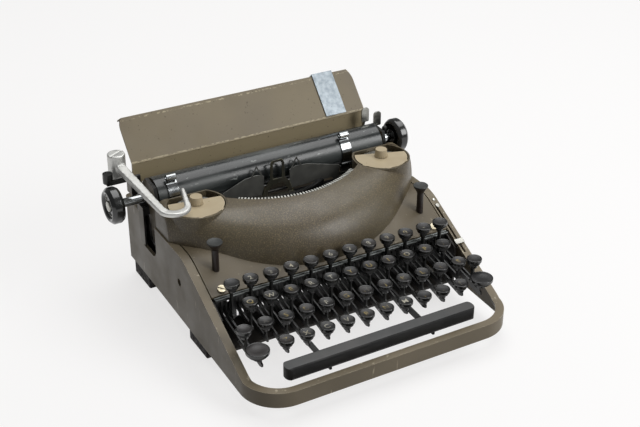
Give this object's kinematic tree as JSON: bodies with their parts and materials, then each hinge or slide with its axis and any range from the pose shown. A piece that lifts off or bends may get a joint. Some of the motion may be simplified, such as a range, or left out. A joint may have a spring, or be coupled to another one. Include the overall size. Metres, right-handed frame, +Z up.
{
  "type": "portable typewriter",
  "caption": "Portable manual typewriter with a sloping four-row keyboard, a rounded ribbon cover over the type basket, and a sliding carriage with platen and paper table.",
  "frame": {"origin": "on the table, under the middle of the machine's bounding box at rest", "axes": "+X to the typist's right along the platen, +Y to the rear, +Z up"},
  "size_m": [0.303, 0.2802, 0.1601],
  "materials": {
    "olive_paint": "matte wrinkle",
    "dark_paint": "satin",
    "black_enamel": "gloss",
    "keytop_black": "gloss",
    "steel": "satin",
    "chrome": "polished",
    "brass": "satin",
    "tan_paint": "satin",
    "black_rubber": "matte"
  },
  "bodies": {
    "machine": {"base_frame": "olive_paint", "front_panel": "olive_paint", "ribbon_cover": "olive_paint", "chassis": "black_enamel", "key_comb": "black_enamel", "fulcrum_shaft": "steel", "rubber_feet": "black_rubber", "cover_screws": "brass", "type_basket": "steel", "card_holder": "black_enamel", "spool_lids": "tan_paint", "carriage_rail": "steel", "figure_and_sign_keys": "keytop_black"},
    "carriage": {"carriage_frame": "black_enamel", "paper_table": "olive_paint"},
    "platen": {"platen": "black_rubber", "platen_knobs": "keytop_black"},
    "left_spool": {"spool_left": "tan_paint"},
    "right_spool": {"spool_right": "tan_paint"},
    "ribbon_guide": {"ribbon_guide": "dark_paint"},
    "paper_guide": {"paper_guide": "chrome"},
    "return_lever": {"return_lever": "chrome"},
    "carriage_release": {"carriage_release_levers": "chrome"},
    "paper_release": {"paper_release_lever": "steel"},
    "paper_fingers": {"paper_fingers": "chrome"},
    "space_bar": {"space_bar": "keytop_black"},
    "shift": {"shift_keys": "keytop_black"},
    "shift_lock": {"shift_lock": "keytop_black"},
    "back_spacer": {"back_spacer": "keytop_black"},
    "margin_release": {"margin_release_key": "keytop_black"},
    "tabulator": {"tab_key": "keytop_black"},
    "left_plunger": {"left_plunger": "keytop_black"},
    "right_plunger": {"right_plunger": "keytop_black"},
    "touch_regulator": {"touch_regulator": "steel"},
    "key_q": {"key_q": "keytop_black"},
    "key_w": {"key_w": "keytop_black"},
    "key_e": {"key_e": "keytop_black"},
    "key_r": {"key_r": "keytop_black"},
    "key_t": {"key_t": "keytop_black"},
    "key_y": {"key_y": "keytop_black"},
    "key_u": {"key_u": "keytop_black"},
    "key_i": {"key_i": "keytop_black"},
    "key_o": {"key_o": "keytop_black"},
    "key_p": {"key_p": "keytop_black"},
    "key_a": {"key_a": "keytop_black"},
    "key_s": {"key_s": "keytop_black"},
    "key_d": {"key_d": "keytop_black"},
    "key_f": {"key_f": "keytop_black"},
    "key_g": {"key_g": "keytop_black"},
    "key_h": {"key_h": "keytop_black"},
    "key_j": {"key_j": "keytop_black"},
    "key_k": {"key_k": "keytop_black"},
    "key_l": {"key_l": "keytop_black"},
    "key_z": {"key_z": "keytop_black"},
    "key_x": {"key_x": "keytop_black"},
    "key_c": {"key_c": "keytop_black"},
    "key_v": {"key_v": "keytop_black"},
    "key_b": {"key_b": "keytop_black"},
    "key_n": {"key_n": "keytop_black"},
    "key_m": {"key_m": "keytop_black"}
  },
  "joints": [
    {"name": "key_q_press", "type": "hinge", "parent": "machine", "child": "key_q", "pos_m": [0.0095, 0.0399, 0.046], "axis": [1, 0, 0], "range_deg": [0, 6.09], "stiffness_Nm_per_rad": 0.35, "springref_deg": -6.88},
    {"name": "key_w_press", "type": "hinge", "parent": "machine", "child": "key_w", "pos_m": [0.0095, 0.0399, 0.046], "axis": [1, 0, 0], "range_deg": [0, 6.09], "stiffness_Nm_per_rad": 0.35, "springref_deg": -6.88},
    {"name": "key_e_press", "type": "hinge", "parent": "machine", "child": "key_e", "pos_m": [0.0095, 0.0399, 0.046], "axis": [1, 0, 0], "range_deg": [0, 6.09], "stiffness_Nm_per_rad": 0.35, "springref_deg": -6.88},
    {"name": "key_r_press", "type": "hinge", "parent": "machine", "child": "key_r", "pos_m": [0.0095, 0.0399, 0.046], "axis": [1, 0, 0], "range_deg": [0, 6.09], "stiffness_Nm_per_rad": 0.35, "springref_deg": -6.88},
    {"name": "key_t_press", "type": "hinge", "parent": "machine", "child": "key_t", "pos_m": [0.0095, 0.0399, 0.046], "axis": [1, 0, 0], "range_deg": [0, 6.09], "stiffness_Nm_per_rad": 0.35, "springref_deg": -6.88},
    {"name": "key_y_press", "type": "hinge", "parent": "machine", "child": "key_y", "pos_m": [0.0095, 0.0399, 0.046], "axis": [1, 0, 0], "range_deg": [0, 6.09], "stiffness_Nm_per_rad": 0.35, "springref_deg": -6.88},
    {"name": "key_u_press", "type": "hinge", "parent": "machine", "child": "key_u", "pos_m": [0.0095, 0.0399, 0.046], "axis": [1, 0, 0], "range_deg": [0, 6.09], "stiffness_Nm_per_rad": 0.35, "springref_deg": -6.88},
    {"name": "key_i_press", "type": "hinge", "parent": "machine", "child": "key_i", "pos_m": [0.0095, 0.0399, 0.046], "axis": [1, 0, 0], "range_deg": [0, 6.09], "stiffness_Nm_per_rad": 0.35, "springref_deg": -6.88},
    {"name": "key_o_press", "type": "hinge", "parent": "machine", "child": "key_o", "pos_m": [0.0095, 0.0399, 0.046], "axis": [1, 0, 0], "range_deg": [0, 6.09], "stiffness_Nm_per_rad": 0.35, "springref_deg": -6.88},
    {"name": "key_p_press", "type": "hinge", "parent": "machine", "child": "key_p", "pos_m": [0.0095, 0.0399, 0.046], "axis": [1, 0, 0], "range_deg": [0, 6.09], "stiffness_Nm_per_rad": 0.35, "springref_deg": -6.88},
    {"name": "key_a_press", "type": "hinge", "parent": "machine", "child": "key_a", "pos_m": [0.0095, 0.0399, 0.046], "axis": [1, 0, 0], "range_deg": [0, 5.2], "stiffness_Nm_per_rad": 0.35, "springref_deg": -6.88},
    {"name": "key_s_press", "type": "hinge", "parent": "machine", "child": "key_s", "pos_m": [0.0095, 0.0399, 0.046], "axis": [1, 0, 0], "range_deg": [0, 5.2], "stiffness_Nm_per_rad": 0.35, "springref_deg": -6.88},
    {"name": "key_d_press", "type": "hinge", "parent": "machine", "child": "key_d", "pos_m": [0.0095, 0.0399, 0.046], "axis": [1, 0, 0], "range_deg": [0, 5.2], "stiffness_Nm_per_rad": 0.35, "springref_deg": -6.88},
    {"name": "key_f_press", "type": "hinge", "parent": "machine", "child": "key_f", "pos_m": [0.0095, 0.0399, 0.046], "axis": [1, 0, 0], "range_deg": [0, 5.2], "stiffness_Nm_per_rad": 0.35, "springref_deg": -6.88},
    {"name": "key_g_press", "type": "hinge", "parent": "machine", "child": "key_g", "pos_m": [0.0095, 0.0399, 0.046], "axis": [1, 0, 0], "range_deg": [0, 5.2], "stiffness_Nm_per_rad": 0.35, "springref_deg": -6.88},
    {"name": "key_h_press", "type": "hinge", "parent": "machine", "child": "key_h", "pos_m": [0.0095, 0.0399, 0.046], "axis": [1, 0, 0], "range_deg": [0, 5.2], "stiffness_Nm_per_rad": 0.35, "springref_deg": -6.88},
    {"name": "key_j_press", "type": "hinge", "parent": "machine", "child": "key_j", "pos_m": [0.0095, 0.0399, 0.046], "axis": [1, 0, 0], "range_deg": [0, 5.2], "stiffness_Nm_per_rad": 0.35, "springref_deg": -6.88},
    {"name": "key_k_press", "type": "hinge", "parent": "machine", "child": "key_k", "pos_m": [0.0095, 0.0399, 0.046], "axis": [1, 0, 0], "range_deg": [0, 5.2], "stiffness_Nm_per_rad": 0.35, "springref_deg": -6.88},
    {"name": "key_l_press", "type": "hinge", "parent": "machine", "child": "key_l", "pos_m": [0.0095, 0.0399, 0.046], "axis": [1, 0, 0], "range_deg": [0, 5.2], "stiffness_Nm_per_rad": 0.35, "springref_deg": -6.88},
    {"name": "key_z_press", "type": "hinge", "parent": "machine", "child": "key_z", "pos_m": [0.0095, 0.0399, 0.046], "axis": [1, 0, 0], "range_deg": [0, 4.54], "stiffness_Nm_per_rad": 0.35, "springref_deg": -6.88},
    {"name": "key_x_press", "type": "hinge", "parent": "machine", "child": "key_x", "pos_m": [0.0095, 0.0399, 0.046], "axis": [1, 0, 0], "range_deg": [0, 4.54], "stiffness_Nm_per_rad": 0.35, "springref_deg": -6.88},
    {"name": "key_c_press", "type": "hinge", "parent": "machine", "child": "key_c", "pos_m": [0.0095, 0.0399, 0.046], "axis": [1, 0, 0], "range_deg": [0, 4.54], "stiffness_Nm_per_rad": 0.35, "springref_deg": -6.88},
    {"name": "key_v_press", "type": "hinge", "parent": "machine", "child": "key_v", "pos_m": [0.0095, 0.0399, 0.046], "axis": [1, 0, 0], "range_deg": [0, 4.54], "stiffness_Nm_per_rad": 0.35, "springref_deg": -6.88},
    {"name": "key_b_press", "type": "hinge", "parent": "machine", "child": "key_b", "pos_m": [0.0095, 0.0399, 0.046], "axis": [1, 0, 0], "range_deg": [0, 4.54], "stiffness_Nm_per_rad": 0.35, "springref_deg": -6.88},
    {"name": "key_n_press", "type": "hinge", "parent": "machine", "child": "key_n", "pos_m": [0.0095, 0.0399, 0.046], "axis": [1, 0, 0], "range_deg": [0, 4.54], "stiffness_Nm_per_rad": 0.35, "springref_deg": -6.88},
    {"name": "key_m_press", "type": "hinge", "parent": "machine", "child": "key_m", "pos_m": [0.0095, 0.0399, 0.046], "axis": [1, 0, 0], "range_deg": [0, 4.54], "stiffness_Nm_per_rad": 0.35, "springref_deg": -6.88},
    {"name": "space_bar_press", "type": "hinge", "parent": "machine", "child": "space_bar", "pos_m": [0.0095, 0.0399, 0.046], "axis": [1, 0, 0], "range_deg": [0, 2.11], "stiffness_Nm_per_rad": 1.2, "springref_deg": -8.59},
    {"name": "shift_press", "type": "hinge", "parent": "machine", "child": "shift", "pos_m": [0.0095, 0.0399, 0.046], "axis": [1, 0, 0], "range_deg": [0, 3.17], "stiffness_Nm_per_rad": 2, "springref_deg": -8.59},
    {"name": "shift_lock_press", "type": "hinge", "parent": "shift", "child": "shift_lock", "pos_m": [0.0095, 0.0399, 0.046], "axis": [1, 0, 0], "range_deg": [0, 1.58], "stiffness_Nm_per_rad": 0.8, "springref_deg": -6.88},
    {"name": "back_space_press", "type": "hinge", "parent": "machine", "child": "back_spacer", "pos_m": [0.0095, 0.0399, 0.046], "axis": [1, 0, 0], "range_deg": [0, 2.22], "stiffness_Nm_per_rad": 0.5, "springref_deg": -6.88},
    {"name": "margin_release_press", "type": "hinge", "parent": "machine", "child": "margin_release", "pos_m": [0.0095, 0.0399, 0.046], "axis": [1, 0, 0], "range_deg": [0, 4], "stiffness_Nm_per_rad": 0.5, "springref_deg": -6.88},
    {"name": "tabulator_press", "type": "hinge", "parent": "machine", "child": "tabulator", "pos_m": [0.0095, 0.0399, 0.046], "axis": [1, 0, 0], "range_deg": [0, 3.95], "stiffness_Nm_per_rad": 0.5, "springref_deg": -6.88},
    {"name": "left_plunger_push", "type": "slide", "parent": "machine", "child": "left_plunger", "axis": [0, 0, -1], "range_m": [0, 0.008], "stiffness_N_per_m": 120, "springref_m": -0.006},
    {"name": "right_plunger_push", "type": "slide", "parent": "machine", "child": "right_plunger", "axis": [0, 0, -1], "range_m": [0, 0.008], "stiffness_N_per_m": 120, "springref_m": -0.006},
    {"name": "touch_regulator_slide", "type": "slide", "parent": "machine", "child": "touch_regulator", "axis": [0, 0.8944, 0.4472], "range_m": [-0.008, 0.034]},
    {"name": "left_spool_turn", "type": "hinge", "parent": "machine", "child": "left_spool", "pos_m": [-0.0845, 0.0389, 0.1], "axis": [0, 0, 1], "continuous": true},
    {"name": "right_spool_turn", "type": "hinge", "parent": "machine", "child": "right_spool", "pos_m": [0.1035, 0.0389, 0.1], "axis": [0, 0, 1], "continuous": true},
    {"name": "ribbon_guide_lift", "type": "slide", "parent": "machine", "child": "ribbon_guide", "axis": [0, 0, 1], "range_m": [0, 0.008]},
    {"name": "carriage_travel", "type": "slide", "parent": "machine", "child": "carriage", "axis": [1, 0, 0], "range_m": [-0.105, 0.105]},
    {"name": "platen_turn", "type": "hinge", "parent": "carriage", "child": "platen", "pos_m": [0.0095, 0.0789, 0.104], "axis": [1, 0, 0], "continuous": true},
    {"name": "return_lever_swing", "type": "hinge", "parent": "carriage", "child": "return_lever", "pos_m": [-0.1305, 0.1039, 0.125], "axis": [0, 0, -1], "range_deg": [-24, 0]},
    {"name": "carriage_release_pull", "type": "hinge", "parent": "carriage", "child": "carriage_release", "pos_m": [0.0095, 0.0939, 0.087], "axis": [-1, 0, 0], "range_deg": [0, 6], "stiffness_Nm_per_rad": 1, "springref_deg": -8.59},
    {"name": "paper_release_pull", "type": "hinge", "parent": "carriage", "child": "paper_release", "pos_m": [0.1235, 0.1009, 0.103], "axis": [1, 0, 0], "range_deg": [0, 8]},
    {"name": "paper_fingers_lift", "type": "hinge", "parent": "carriage", "child": "paper_fingers", "pos_m": [0.0095, 0.0638, 0.087], "axis": [1, 0, 0], "range_deg": [0, 3.5]},
    {"name": "paper_guide_slide", "type": "slide", "parent": "carriage", "child": "paper_guide", "axis": [0, 0.6813, 0.732], "range_m": [0, 0.03]}
  ],
  "couplings": [
    {"joint": "paper_fingers_lift", "follows": "paper_release_pull", "ratio": 0.4375}
  ]
}
